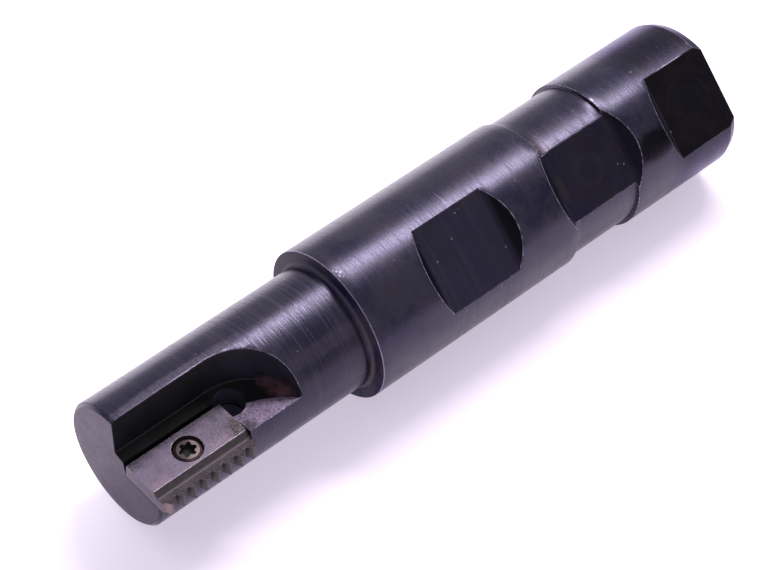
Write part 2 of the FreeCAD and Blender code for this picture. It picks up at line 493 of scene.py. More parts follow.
# Corners that a bevel threw past the turned surface are drawn back to the middle of their neighbours.
def drawBackStrays(piece):
    s = bodySizes
    neckFoot = s["shankLength"] + s["neckFillet"] + 0.1

    def past(place):
        limit = s["shankRadius"] if place.z < neckFoot else s["neckRadius"]
        return math.hypot(place.x, place.y) > limit + s["strayLimit"]

    def change(shape):
        for _ in range(6):
            stray = [v for v in shape.verts if past(v.co)]
            bmesh.ops.smooth_vert(shape, verts=stray, factor=1.0,
                                  use_axis_x=True, use_axis_y=True, use_axis_z=True)
        print("strays drawn back", len(stray))
    reworkMesh(piece, change)


# Sorts the narrow strips: hollows along the shank join the flats, those low in the gullet its floor.
def sortStrips(piece):
    finish = np.empty(len(piece.data.polygons), np.int32)
    piece.data.polygons.foreach_get("material_index", finish)
    x, y, z = faceVectors(piece.data, "center")
    finish[(finish == 3) & (z < 77)] = 6
    finish[(finish == 3) & (z > 77) & (y > -3.1)] = 7
    finish[(finish == 2) & (z > 88) & (z < 115) & (np.hypot(x, y) < 9.3)] = 7
    piece.data.polygons.foreach_set("material_index", finish)


# Gullet, pocket and the holes in the head

gulletSizes = {
    "millRadius": 10.29,
    "millTip": 0.02,
    "millEdgeUp": 3.42,
    "millSlope": 15.6,
    "sideTaper": 1.1,
    "stopOut": 10.38,
    "stopHeight": 98.87,
    "travelTurn": -0.57,
    "floorUp": 3.28,
    "floorSlope": 10.5,
    "reliefRadius": 2.38,
    "reliefPlace": (3.43, -0.4, 97.217),
    "reliefHeight": 5.0,
    "pocketLean": 8.6,
    "pocketRise": 4.0,
    "pocketClear": 30.0,
    "tappedRadius": 1.5,
    "tappedSpan": (-0.2, 6.2),
    "tappedTip": 7.1,
    "top": 14.0,
    "clear": 40.0,
    "blockTop": 60.0,
}


# Cone-ended mill run in from the nose: at each height a half circle where it stops and two straight sides.
# The block over the sloping floor keeps the mill above it.
def gulletCutter():
    s = gulletSizes
    point = s["millEdgeUp"] - s["millRadius"] * tangent(s["millSlope"])
    wide = s["millRadius"] + (s["top"] - s["millEdgeUp"]) * tangent(s["sideTaper"])
    travelTurn = math.radians(s["travelTurn"])
    ahead = headPoint(-math.sin(travelTurn), 0, math.cos(travelTurn))
    across = headPoint(math.cos(travelTurn), 0, math.sin(travelTurn))
    angle = np.linspace(0, math.pi, 97)[:, None]
    half = np.cos(angle) * across - np.sin(angle) * ahead
    rings = []
    for radius, up in ((s["millTip"], point), (s["millRadius"], s["millEdgeUp"]), (wide, s["top"])):
        middle = headPoint(s["stopOut"], up, s["stopHeight"])
        ends = np.stack([middle - radius * across, middle + radius * across]) + ahead * s["clear"]
        rings.append(np.vstack([middle + radius * half, ends]))
    cutter = ringSolid("gulletCutter", rings, [0, 1, 0, 0])
    floorOut = math.sqrt(bodySizes["neckRadius"] ** 2 - s["floorUp"] ** 2)
    drop = s["clear"] * tangent(s["floorSlope"])
    near, far, top = floorOut - s["clear"], floorOut + s["clear"], s["blockTop"]
    block = [(near, s["floorUp"] - drop), (far, s["floorUp"] + drop), (far, top), (near, top)]
    return cutter, prism("aboveFloor", [headPoint(out, up, 0) for out, up in block], (0, 0, 200))


# Seat, locating land and leaning wall of the pocket, drawn out past the nose.
def pocketCutter():
    s, insert = gulletSizes, insertSizes
    edge, land, far = insert["innerEdge"], insert["land"], s["pocketClear"]
    wallOut = edge - s["pocketRise"] * tangent(s["pocketLean"])
    top = land + s["pocketRise"]
    section = [(edge, 0), (edge, land), (wallOut, top), (far, top), (far, 0)]
    return prism("pocketCutter", [headPoint(out, up, insertBack()) for out, up in section], (0, 0, far))


def reliefCutter():
    s = gulletSizes
    profile = [(s["reliefRadius"], 0), (s["reliefRadius"], s["reliefHeight"])]
    foot = headPoint(*s["reliefPlace"])
    return turnedSolid("reliefCutter", profile, foot, (0, -1, 0), bodySizes["holeTurns"])


def tappedHoleCutter():
    s = gulletSizes
    profile = [(s["tappedRadius"], height) for height in s["tappedSpan"]]
    return turnedSolid("tappedHole", profile, screwFoot(), (0, 1, 0), 64, tips=(None, s["tappedTip"]))


# Walls round a flat: how far a point stands above the plane of the flats.
@shaderGroup("Mask")
def sunkWall(tree):
    x, y, z = split(spot(tree))
    level = bodySizes["flatDistance"] * toMetres
    return [((x + y) * -math.sqrt(0.5)).ramp(level + 0.00012, level + 0.0009)]


# Black oxide over turned steel. Stains and one painted highlight: place, reach, ragged, least share in the
# grain, strength, colour.
oxideLooks = {
    "deep": (0.0050, 0.0043, 0.0185),
    "pale": (0.0225, 0.0205, 0.0290),
    "steel": (0.42, 0.38, 0.47),
    "streak": (0.03, 0.027, 0.042),
    "bright": (0.10, 0.09, 0.115),
    "shoulder": (0.062, 0.058, 0.070),
    "shade": (0.012, 0.011, 0.013),
    "tint": (0.75, 0.70, 1.0, 1.0),
    "roughness": (0.25, 0.36),
    "lines": ((7000.0, 240.0), (4400.0, 45.0), (9000.0, 38.0)),
    "lineDepth": 0.0000055,
    "neckLineDepth": 6.5,
    "neckFoot": (0.0762, 0.0776),
    "filletHighlightSpan": (0.07542, 0.0756, 0.0758, 0.0760),
    "stainsAndHighlight": [
        ((-0.0073, -0.0104, 0.0698), (0.0005, 0.0005, 0.0005), 0.6, 1.0, 0.8, (0.032, 0.012, 0.010)),
        ((-0.0106, 0.0006, 0.0756), (0.0012, 0.0034, 0.001), 0.6, 1.0, 0.8, (0.032, 0.012, 0.010)),
        ((-0.0019, -0.0118, 0.0338), (0.0022, 0.0014, 0.0019), 0.7, 0.3, 0.85, (0.13, 0.09, 0.083)),
        # painted highlight: a pale patch along the neck above the gullet's crest
        ((0.0006, -0.0103, 0.1045), (0.0010, 0.001, 0.0135), 0.25, 0.6, 0.4, (0.20, 0.18, 0.22)),
    ],
    "dull": ((-0.0073, -0.0073, 0.0820), (0.0015, 0.0015, 0.0095), 0.3),
    "dullColour": (0.05, 0.044, 0.052),
    "shadow": ((-0.0104, -0.0073, 0.0172), (0.0024, 0.0032, 0.0052), 0.15),
    "nicks": [
        ((-0.0007, -0.0127, 0.0750), (0.0003, 0.0003, 0.0001)),
        ((-0.0012, -0.0127, 0.0747), (0.0002, 0.0002, 0.0002)),
        ((-0.0020, -0.0125, 0.0748), (0.0003, 0.0003, 0.0002)),
        ((-0.0016, -0.0126, 0.0743), (0.0002, 0.0002, 0.0002)),
        ((-0.0024, -0.0125, 0.0744), (0.0001, 0.0001, 0.0002)),
        ((-0.0014, -0.0126, 0.0016), (0.0004, 0.0003, 0.0002)),
        ((0.0012, -0.0127, 0.0057), (0.0002, 0.0002, 0.0001)),
        ((-0.0001, -0.0127, 0.0129), (0.0002, 0.0002, 0.0002)),
        ((-0.0002, -0.0126, 0.0535), (0.0016, 0.0020, 0.00005)),
        ((-0.0004, -0.0127, 0.0218), (0.0005, 0.0004, 0.0002)),
    ],
}


def turnedOxide(name, level, duller, lift):
    s = oxideLooks
    material, tree = newMaterial(name, level, s["tint"])
    x, y, z = split(spot(tree))
    neck = z.ramp(*s["neckFoot"]) * z.ramp(0.108, 0.088, 0.25, 1.0)
    fine, drawn, hairs = [turnedLines(tree, *pair) for pair in s["lines"]]
    dust = specks(tree, 620.0, 0.22, 0.105)
    grain = cloudy(tree, 2400.0, 0.2)
    streaks = drawn["Streaks"] * neck * 0.55
    deep, pale = (tuple(c * lift for c in s[key]) for key in ("deep", "pale"))
    colour = blend(cloudy(tree, 150.0, 0.11), deep, pale)
    colour = blend(streaks, colour, s["streak"])
    colour = blend(hairs["Height"].ramp(0.6, 0.72) * neck * 0.6, colour, s["bright"])
    for place, reach, ragged, least, strength, paint in s["stainsAndHighlight"]:
        mask = stained(tree, place, reach, ragged) * grain.ramp(0, 1, least, 1.0)
        colour = blend(mask * strength, colour, paint)
    dull = stained(tree, *s["dull"]) * fine["Height"].ramp(0.25, 0.75, 0.25, 1.0)
    colour = blend(dull * 0.75, colour, s["dullColour"])
    # painted highlight: a light band along the root fillet
    start, full, fading, end = s["filletHighlightSpan"]
    colour = blend(z.ramp(start, full) * z.ramp(end, fading) * 0.7, colour, s["bright"])
    # painted light: the shoulder face lighter and greyer towards +X, darker on the other side
    if name == "shoulderOxide":
        colour = blend(x.ramp(0.001, 0.009, 0.0, 0.75), colour, s["shoulder"])
    nicks = [stained(tree, place, reach, 0.9, 5200.0) for place, reach in s["nicks"]]
    marks = larger(dust["Mask"] * dust["Tone"], *nicks)
    outward = larger(fromAxis(x, y).ramp(0.0117, 0.0119), z.ramp(0.080, 0.082))
    bare = larger(edgeWear(tree, 0.00035, 1300.0) * outward * 0.8, marks * 0.5)
    colour = blend(bare, colour, s["steel"])
    shade = larger(stained(tree, *s["shadow"]) * 0.85, z.ramp(0.0155, 0.0105, 0.0, 0.55))
    if name == "neckOxide":
        shade = larger(shade, x.ramp(-0.0066, -0.0096) * 0.28, z.ramp(0.0772, 0.0764, 0.0, 0.75))
    rough = (grain * 0.5 + fine["Streaks"] * 0.5).ramp(0, 1, *s["roughness"]) + duller
    height = fine["Height"] + grain * 0.12 + drawn["Height"] * neck * s["neckLineDepth"]
    return dressMaterial(material, blend(shade, colour, s["shade"]), larger(bare * 0.85, shade),
                         rough + streaks * 0.1, height, s["lineDepth"])


# Milled faces of the flats: the same oxide, duller, with faint arcs about the middle of each flat
flatLooks = {
    "plane": 0.0074529,
    "front": {
        "height": 0.05445, "pale": 0.0115, "blue": 1.7, "tint": (0.8, 0.78, 1.0, 1.0), "level": 0.56,
        "roughness": (0.32, 0.48), "arcsAside": 0.07, "bands": 0.4, "ring": 0.02, "wallShade": 0.93,
        "nicks": [(-0.00945, -0.00545, 0.0481), (-0.00991, -0.00499, 0.04726), (-0.00669, -0.00821, 0.05957),
                  (-0.00331, -0.0116, 0.05317), (-0.00547, -0.00944, 0.05567)],
    },
    "groove": {
        "height": 0.02875, "pale": 0.009, "blue": 1.7, "tint": (0.8, 0.78, 1.0, 1.0), "level": 0.36,
        "roughness": (0.36, 0.52), "arcsAside": 0.0, "bands": 0.08, "ring": 0.0062, "wallShade": 0.8,
        "nicks": [(-0.00876, -0.00614, 0.02362), (-0.00914, -0.00576, 0.02263)],
    },
    "end": {
        "height": 0.0065, "pale": 0.0060, "blue": 1.0, "tint": (1.0, 1.0, 0.98, 1.0), "level": 0.1,
        "roughness": (0.44, 0.6), "arcsAside": 0.0, "bands": 0.08, "ring": 0.0041, "wallShade": 0.0,
        "nicks": [(-0.00911, -0.00579, 0.01216)],
    },
    "ring": (0.035, 0.032, 0.04),
    "rust": (0.02, 0.01, 0.006),
    "rim": ((-0.0077, -0.0072, 0.0345), (0.0026, 0.0026, 0.0006), 0.6, 1300.0),
    "rimColour": (0.03, 0.017, 0.014),
    "steel": (0.4, 0.38, 0.42),
    "wall": (0.014, 0.013, 0.019),
    "nickReach": (0.00018, 0.00018, 0.00018),
}


def milledFlat(name):
    s, flat = flatLooks, flatLooks[name]
    z, pale, d = flat["height"], flat["pale"], s["plane"]
    blue = pale * flat["blue"]
    material, tree = newMaterial(name + "Flat", flat["level"], flat["tint"])
    patch = cloudy(tree, 90.0, 0.1, (0.01, 0.02, 0.0))
    arcs = millArcs(tree, (-d, -d, z + flat["arcsAside"]), 2200.0)
    grain = cloudy(tree, 2600.0, 0.2)
    dust = specks(tree, 640.0, 0.06, 0.09)
    ring = ringLine(tree, (-d, -d, z), flat["ring"])
    rusty = cloudy(tree, 330.0, 0.06, (0.03, 0.01, 0.02))
    colour = blend(cloudy(tree, 230.0), (pale * 0.5, pale * 0.5, blue * 0.55), (pale, pale, blue))
    colour = blend(patch * 0.6, colour, (pale * 0.7, pale * 0.6, blue * 1.5))
    colour = blend(arcs["Bands"] * flat["bands"], colour, (pale * 2.4, pale * 2.1, pale * 2.3))
    colour = blend(ring * 0.28, colour, s["ring"])
    colour = blend(rusty * 0.18, colour, s["rust"])
    if name == "groove":
        colour = blend(stained(tree, *s["rim"]) * 0.55, colour, s["rimColour"])
    bare = larger(dust["Mask"] * dust["Tone"] * 0.5, edgeWear(tree, 0.0003, 1500.0) * 0.35)
    for place in flat["nicks"]:
        bare = larger(bare, stained(tree, place, s["nickReach"], 0.5, 6200.0) * 0.4)
    colour = blend(bare, colour, s["steel"])
    shade = sunkWall(tree) * flat["wallShade"]
    rough = (grain + arcs["Bands"]).ramp(0, 2, *flat["roughness"])
    return dressMaterial(material, blend(shade, colour, s["wall"]), larger(bare * 0.8, shade),
                         rough, arcs["Height"] + grain * 0.8, 0.000003)


# Gullet: near-black milled walls, rust on the far one
gulletLooks = {
    "black": (0.0060, 0.0062, 0.0058),
    "sootAndShade": (0.011, 0.0105, 0.014),
    "deepShade": (0.0012, 0.0011, 0.0014),
    "runOut": (0.022, 0.020, 0.034),
    "rust": (0.118, 0.055, 0.066),
    "rustPlace": ((-0.0058, -0.0034, 0.0905), (0.0041, 0.0010, 0.0020), 0.45),
    "steel": (0.36, 0.33, 0.4),
    "tint": (0.92, 1.0, 0.86, 1.0),
    "roughness": (0.36, 0.5),
}


def gulletOxide(name, level):
    s = gulletLooks
    material, tree = newMaterial(name, level, s["tint"])
    cloud = cloudy(tree, 260.0)
    grain = cloudy(tree, 2200.0, 0.2)
    x, y, z = split(spot(tree))
    far = z.ramp(0.1, 0.094) * y.ramp(-0.0032, -0.0042) * cloud.ramp(0, 1, 0.5, 1.0)
    red = stained(tree, *s["rustPlace"]) * cloud.ramp(0.1, 0.9, 0.35, 0.95)
    colour = blend(cloud, s["black"], s["sootAndShade"])
    colour = blend(far, colour, s["runOut"])
    # painted shade low in the gullet, next to the insert
    colour = blend(y.ramp(-0.0026, -0.0012) * 0.8, colour, s["deepShade"])
    colour = blend(red, colour, s["rust"])
    bare = edgeWear(tree, 0.00025, 1700.0) * 0.55
    return dressMaterial(material, blend(bare, colour, s["steel"]), bare * 0.8,
                         grain.ramp(0, 1, *s["roughness"]), grain, 0.000005)


# Strips along rounded edges: oxide rubbed through to steel in places
edgeLooks = {
    "brightEdge": {"share": 0.45, "brightness": 0.75, "level": 0.3, "inHead": (0.0050, 0.0043, 0.0185)},
    "crease": {"share": 0.1, "brightness": 0.1, "level": 0.07, "inHead": (0.045, 0.043, 0.046)},
    "flatCrease": {"share": 0.1, "brightness": 0.03, "level": 0.5, "inHead": (0.0050, 0.0043, 0.0185)},
    "steel": (0.5, 0.46, 0.56),
    "polished": ((-0.00244, -0.01246, 0.0066), (0.0006, 0.0006, 0.0029)),
    "roughness": (0.28, 0.42),
    "noseSpan": (0.1144, 0.1148),
    "headSpan": (0.0775, 0.079),
}


def edgeOxide(name):
    s, edge = edgeLooks, edgeLooks[name]
    material, tree = newMaterial(name, edge["level"], oxideLooks["tint"])
    drawn = cloudy(tree, 170.0, Shift=(0.02, 0.05, 0.01))
    chips = cloudy(tree, 1500.0, 0.09)
    x, y, z = split(spot(tree))
    radius = fromAxis(x, y)
    inHead, atNose = z.ramp(*s["headSpan"]), z.ramp(*s["noseSpan"])
    outer = larger(radius.ramp(0.0093, 0.0099), z.ramp(0.0775, 0.077))
    sloping = larger(abs(split(surfaceNormal(tree))[2]).ramp(0.08, 0.25, 0.25, 1.0), inHead)
    bare = drawn.ramp(0, 1, edge["share"], 1.0) * chips.ramp(0, 1, 0.3, 1.0) * edge["brightness"]
    bare = bare * outer.ramp(0, 1, 0.12, 1.0) * sloping
    crest = y.ramp(-0.0085, -0.0095) * z.ramp(0.089, 0.095)
    endLine = z.ramp(0.0105, 0.0115) * z.ramp(0.0150, 0.0140) * x.ramp(-0.0092, -0.0104, 0.0, 0.8)
    seat = atNose * radius.ramp(0.0093, 0.0091)
    bare = bare * crest.ramp(0, 1, 1.0, 0.6) * (1.0 - endLine)
    bare = bare * z.ramp(*s["noseSpan"], 1.0, 0.3) * (1.0 - seat)
    ledge = z.ramp(0.0748, 0.0750) * z.ramp(0.0760, 0.0758) * radius.ramp(0.0122, 0.0124, 0.0, 0.75)
    ledge = ledge * chips.ramp(0, 1, 0.7, 1.0)
    bare = larger(bare, stained(tree, *s["polished"]) * 0.7, ledge)
    base = blend(inHead, oxideLooks["deep"], edge["inHead"])
    rough = chips.ramp(0, 1, *s["roughness"])
    return dressMaterial(material, blend(bare, base, s["steel"]), bare * 0.9, rough)


# Ground steel left bare: the nose face and the land behind the insert
groundLooks = {
    "nose": {"pale": (0.098, 0.070, 0.116), "dull": (0.046, 0.034, 0.056), "shift": (0.0, 0.0, 0.0),
             "metal": 0.2, "pits": 0.14},
    "land": {"pale": (0.41, 0.32, 0.46), "dull": (0.15, 0.12, 0.17), "shift": (0.04, 0.0, 0.07),
             "metal": 0.55, "pits": 0.3},
    "pit": (0.022, 0.018, 0.024),
    "steel": (0.42, 0.36, 0.46),
    "landCorner": ((-0.0088, -0.0030, 0.0976), (0.0013, 0.001, 0.0010), 0.8, 1600.0),
    "roughness": (0.38, 0.52),
}


def groundSteel(name):
    s, face = groundLooks, groundLooks[name]
    material, tree = newMaterial(name + "Face", 0.3)
    cloud = cloudy(tree, 330.0, Shift=face["shift"])
    grain = cloudy(tree, 2600.0, 0.13, face["shift"])
    pits = specks(tree, 700.0, face["pits"], 0.2)
    scratch = larger(scratched(tree, (0.0, 0.2, 0.75), 0.67), scratched(tree, (0.0, 0.1, -0.9), 0.69))
    dots = larger(pits["Mask"] * pits["Tone"].ramp(0, 1, 0.25, 0.75), scratch * 0.5)
    x, y, z = split(spot(tree))
    if name == "nose":
        dots = larger(dots, abs(y).ramp(0.00024, 0.00010) * x.ramp(-0.0022, -0.0025) * 0.95)
    if name == "land":
        dots = larger(dots, stained(tree, *s["landCorner"]) * 0.6)
    colour = blend(cloud * 0.5 + grain * 0.5, face["dull"], face["pale"])
    colour = blend(dots, colour, s["pit"])
    colour = blend(edgeWear(tree, 0.00022, 1500.0) * 0.6, colour, s["steel"])
    return dressMaterial(material, colour, dots.ramp(0, 1, face["metal"], 0.1),
                         grain.ramp(0, 1, *s["roughness"]), grain - dots, 0.000006)


holeLooks = {
    "darkHole": ((0.034, 0.032, 0.048), (0.062, 0.058, 0.086)),
    "recess": ((0.019, 0.019, 0.020), (0.036, 0.036, 0.038)),
}


def darkHole(name):
    material, tree = newMaterial(name, 0.1)
    cloud = cloudy(tree, 500.0)
    rough = cloud.ramp(0, 1, 0.45, 0.65)
    return dressMaterial(material, blend(cloud, *holeLooks[name]), 0.0, rough, cloud, 0.000008)


# Thread insert

insertSizes = {
    "pitch": 25.4 / 12,
    "teeth": 8,
    "toothDepth": 1.05,
    "flankAngle": 30.0,
    "thickness": 2.85,
    "innerEdge": 2.43,
    "tip": 12.0,
    "land": 0.6,
    "backTop": 2.746,
    "grooveEdge": 8.86,
    "grooveRoot": (9.85, 2.03),
    "rakeEnd": (12.5, 2.5691),
    "holeRadius": 1.7,
    "counterbore": (2.34, 0.35),
    "coneAngle": 30.0,
    "edgeBreak": 0.075,
}


def insertBack():
    return bodySizes["noseHeight"] - insertSizes["teeth"] * insertSizes["pitch"]


# Where the screw's axis meets the seat, or a height above it.
def screwFoot(up=0):
    height = bodySizes["noseHeight"] - insertSizes["teeth"] * insertSizes["pitch"] / 2
    return headPoint(screwSizes["out"], up, height)


# Section of the plate with its leaning back, chip groove and rake, drawn along the tooth row.
def insertBlank():
    s = insertSizes
    section = [(s["innerEdge"], 0), (s["innerEdge"], s["land"]), (s["backTop"], s["thickness"]),
               (s["grooveEdge"], s["thickness"]), s["grooveRoot"], s["rakeEnd"], (s["rakeEnd"][0], 0)]
    return prism("threadInsertShape", [headPoint(out, up, insertBack()) for out, up in section],
                 (0, 0, s["teeth"] * s["pitch"]))


# Plan of the tooth row: root, flank, flat crest and flank, repeated once a pitch down from the nose.
def toothComb():
    s = insertSizes
    nose = bodySizes["noseHeight"]
    flank = s["toothDepth"] * tangent(s["flankAngle"])
    crest = s["pitch"] / 8
    root = s["pitch"] - 2 * flank - crest
    rootOut = s["tip"] - s["toothDepth"]
    start = nose - np.arange(s["teeth"])[:, None] * s["pitch"] - root / 2
    heights = (start - np.array([0, flank, flank + crest, 2 * flank + crest])).ravel()
    outs = np.tile([rootOut, s["tip"], s["tip"], rootOut], s["teeth"])
    outs = np.concatenate([[0, rootOut], outs, [rootOut, 0]])
    heights = np.concatenate([[nose + 1, nose + 1], heights, [insertBack() - 1] * 2])
    outline = np.stack([-outs, np.full(len(outs), 1.0), heights], axis=1)
    return prism("toothComb", outline, (0, -6, 0))


# Screw hole: straight bore, 60 degree cone and counterbore, turned about the screw's axis.
def insertHole():
    s = insertSizes
    wide, depth = s["counterbore"]
    mouth = s["thickness"] - depth
    cone = (wide - s["holeRadius"]) / tangent(s["coneAngle"])
    profile = [(s["holeRadius"], -1), (s["holeRadius"], mouth - cone), (wide, mouth),
               (wide, s["thickness"] + 1)]
    return turnedSolid("insertHole", profile, screwFoot(), (0, -1, 0), bodySizes["holeTurns"])


# Sorts the faces by where they look: the top, the groove's wall, the rake, and flanks for the rest.
def sortInsertFaces(piece):
    normals, middles = faceVectors(piece.data, "normal"), faceVectors(piece.data, "center")
    out, up = -normals[0], -normals[1]
    finish = np.full(len(up), 3, np.int32)
    finish[(up > 0.99) & (-middles[1] > insertSizes["thickness"] - 0.01)] = 0
    finish[(up > 0.5) & (out > 0.3)] = 1
    finish[(up > 0.9) & (out < -0.1)] = 2
    piece.data.polygons.foreach_set("material_index", finish)


# Ground carbide: one build for the top, the chip groove's wall, the rake, the flanks and the edges.
# Gloss: how metallic, then the lowest and highest roughness.
carbideLooks = {
    "top": {"pale": (0.152, 0.119, 0.176), "dull": (0.076, 0.060, 0.086), "gloss": (0.55, 0.34, 0.5)},
    "groove": {"pale": (0.092, 0.072, 0.076), "dull": (0.046, 0.036, 0.038), "gloss": (0.3, 0.4, 0.55)},
    "rake": {"pale": (0.125, 0.095, 0.108), "dull": (0.055, 0.042, 0.048), "gloss": (0.4, 0.38, 0.52)},
    "flank": {"pale": (0.11, 0.082, 0.088), "dull": (0.055, 0.041, 0.044), "gloss": (0.4, 0.36, 0.5)},
    "edge": {"pale": (0.62, 0.55, 0.66), "dull": (0.3, 0.26, 0.32), "gloss": (0.8, 0.3, 0.42)},
    "stain": (0.026, 0.018, 0.014),
    "stainPlace": ((-0.0078, -0.00285, 0.0992), (0.0022, 0.001, 0.0015), 0.9, 1500.0),
    "pink": (0.205, 0.143, 0.170),
    "pepper": (0.018, 0.015, 0.02),
    "rootHighlight": (0.29, 0.24, 0.26),
    "endFace": (0.112, 0.089, 0.120),
    "toothRootSootAndShade": (0.02, 0.016, 0.016),
    "firstToothHighlight": (0.27, 0.19, 0.185),
    "seam": (0.012, 0.010, 0.012),
    "screwRing": ((-0.00605, -0.00285, 0.10688), (0.003, 0.003, 0.003), 0.0),
    "edgeSootAndShade": (0.014, 0.012, 0.014),
    "dirtAndShade": (0.012, 0.009, 0.008),
    "dirtAndShadeSpan": (0.22, 0.62),
    "flankDirtAndShadeSpan": (0.1, 0.5),
}


# Top: duller to the rear, pinkish to the groove, peppered, with soot and painted shade towards the back
# wall, one stained corner.
def topMarks(colour, grain, out, z):
    s, tree = carbideLooks, colour.tree
    colour = blend(z.ramp(0.1065, 0.1000, 0.0, 0.8), colour, s["top"]["dull"])
    colour = blend(out.ramp(0.0062, 0.0086) * cloudy(tree, 260.0) * 0.6, colour, s["pink"])
    across = out + (noise(spot(tree), 620.0, 4.0, 0.6) - 0.5) * 0.0055
    share = across.ramp(0.0054, 0.0027) * 0.6 + 0.08
    pepper = specks(tree, 2600.0, share, 0.34)["Mask"]
    # soot and painted shade towards the back wall
    sootAndShade = across.ramp(0.0049, 0.0026) * grain.ramp(0.1, 0.9, 0.9, 0.35)
    colour = blend(larger(pepper * 0.8, sootAndShade), colour, s["pepper"])
    return blend(stained(tree, *s["stainPlace"]) * grain.ramp(0, 1, 0.6, 1.0), colour, s["stain"])


# Flanks: pale end face with a seam on the seat, soot and painted shade at the tooth roots and on flanks
# facing the rear, the first tooth's flank lighter as a painted highlight.
def flankMarks(colour, out, y, z, away):
    s = carbideLooks
    endFace = z.ramp(0.11530, 0.11533)
    colour = blend(endFace, colour, s["endFace"])
    # soot and painted shade at the tooth roots and on the flanks that face the rear
    rootSootAndShade = larger(out.ramp(0.01145, 0.0110) * z.ramp(0.1152, 0.1150), away.ramp(-0.2, -0.5))
    colour = blend(rootSootAndShade * 0.85, colour, s["toothRootSootAndShade"])
    colour = blend(y.ramp(-0.00022, -0.00008) * endFace, colour, s["seam"])
    # painted highlight: the first tooth's open flank lighter
    first = z.ramp(0.1139, 0.1141) * z.ramp(0.11532, 0.11530) * out.ramp(0.0106, 0.0109)
    return blend(first, colour, s["firstToothHighlight"])


# Edges: bright along the top only, dull round the screw and at both ends, with soot and painted shade in the
# gaps, at the back and underneath.
def edgeMarks(colour, grain, out, y, z, away):
    s = carbideLooks
    ring = stained(colour.tree, *s["screwRing"]) * 1.6
    ends = larger(z.ramp(0.11522, 0.11527, 0.0, 0.8), z.ramp(0.0990, 0.0986, 0.0, 0.8))
    colour = blend(larger(y.ramp(-0.00262, -0.00258), ring, ends), colour, s["rake"]["pale"])
    # soot and painted shade in the tooth gaps, at the back and along the underside
    gaps = out.ramp(0.0107, 0.0109) * away.ramp(0.05, -0.15, 0.0, 0.85)
    back = out.ramp(0.0032, 0.0026) * grain.ramp(0, 1, 1.0, 0.6)
    return blend(larger(back, gaps, y.ramp(-0.0004, -0.0002)), colour, s["edgeSootAndShade"])


def carbide(name):
    s, face = carbideLooks, carbideLooks[name]
    material, tree = newMaterial(name + "Carbide")
    cloud = cloudy(tree, 420.0, Shift=(0.02, 0.0, 0.05))
    grain = cloudy(tree, 3200.0, 0.14)
    # dirt and painted shade in the corners, darker where little open sky is near
    dirtAndShade = dirtAndShadeInCorners(tree, 0.0014, *s["flankDirtAndShadeSpan" if name == "flank" else "dirtAndShadeSpan"])
    colour = blend(cloud * 0.45 + grain * 0.55, face["dull"], face["pale"])
    x, y, z = split(spot(tree))
    out, away = x * -1.0, split(surfaceNormal(tree))[2]
    if name == "top":
        colour = topMarks(colour, grain, out, z)
    if name in ("groove", "rake"):
        # painted highlight: a light line along the chip groove's root
        root = abs(out - insertSizes["grooveRoot"][0] * toMetres).ramp(0.00026, 0.00004)
        colour = blend(root * 0.6, colour, s["rootHighlight"])
    if name == "flank":
        colour = flankMarks(colour, out, y, z, away)
    if name == "edge":
        colour = edgeMarks(colour, grain, out, y, z, away)
    metal, low, high = face["gloss"]
    return dressMaterial(material, blend(dirtAndShade * 0.9, colour, s["dirtAndShade"]), dirtAndShade.ramp(0, 1, metal, 0.1),
                         grain.ramp(0, 1, low, high), grain, 0.000004)


# Insert screw

screwSizes = {
    "out": 6.05,
    "shank": 1.47,
    "headRadius": 2.15,
    "rimUp": 2.1709,
    "headTop": 2.6709,
    "headBevel": 0.42,
    "coneAngle": 30.0,
    "length": 7.2,
    "pointChamfer": 0.35,
    "recessDepth": 1.1,
    "lobes": 6,
    "lobeTurn": 18.0,
    "lobeCircle": 0.99,
    "lobeRadius": 0.37,
    "coreRadius": 1.0,
    "edgeBreak": 0.04,
    "turns": 128,
}


# Outline of the recess: at each angle the farther of the core circle and the lobe circle's far side.
def recessCutter():
    s = screwSizes
    angle = np.linspace(0, 2 * math.pi, 288, endpoint=False)
    share = math.pi / s["lobes"]
    turn = (angle - math.radians(s["lobeTurn"]) + share) % (2 * share) - share
    inside = np.clip(s["lobeRadius"] ** 2 - (s["lobeCircle"] * np.sin(turn)) ** 2, 0, None)
    lobe = s["lobeCircle"] * np.cos(turn) + np.sqrt(inside)
    radius = np.maximum(s["coreRadius"], np.where(inside > 0, lobe, 0))
    base = screwFoot(s["headTop"] - s["recessDepth"])
    outline = base + np.stack([radius * np.cos(angle), 0 * angle, radius * np.sin(angle)], axis=1)
    return prism("recess", outline, headPoint(0, 3, 0))


# Shank with a chamfered point, cone, rim and bevelled face, turned about the screw's axis.
def screwBlank():
    s = screwSizes
    tip = s["headTop"] - s["length"]
    cone = (s["headRadius"] - s["shank"]) / tangent(s["coneAngle"])
    profile = [(s["shank"] - s["pointChamfer"], tip), (s["shank"], tip + s["pointChamfer"]),
               (s["shank"], s["rimUp"] - cone), (s["headRadius"], s["rimUp"]),
               (s["headRadius"], s["headTop"] - s["headBevel"]),
               (s["headRadius"] - s["headBevel"], s["headTop"])]
    return turnedSolid("insertScrewShape", profile, screwFoot(), (0, -1, 0), s["turns"])


# Bronze-grey screw steel, with soot and painted shade towards the recess and in the gap, and painted shade
# on one side
screwLooks = {
    "pale": (0.185, 0.130, 0.125),
    "dull": (0.08, 0.056, 0.054),
    "slope": (0.06, 0.042, 0.042),
    "shade": (0.021, 0.015, 0.0155),
    "shadeTurn": -41.6,
    "shadeMiddle": 0.0759,
    "sootAndShade": (0.012, 0.01, 0.01),
    "steel": (0.5, 0.4, 0.37),
}


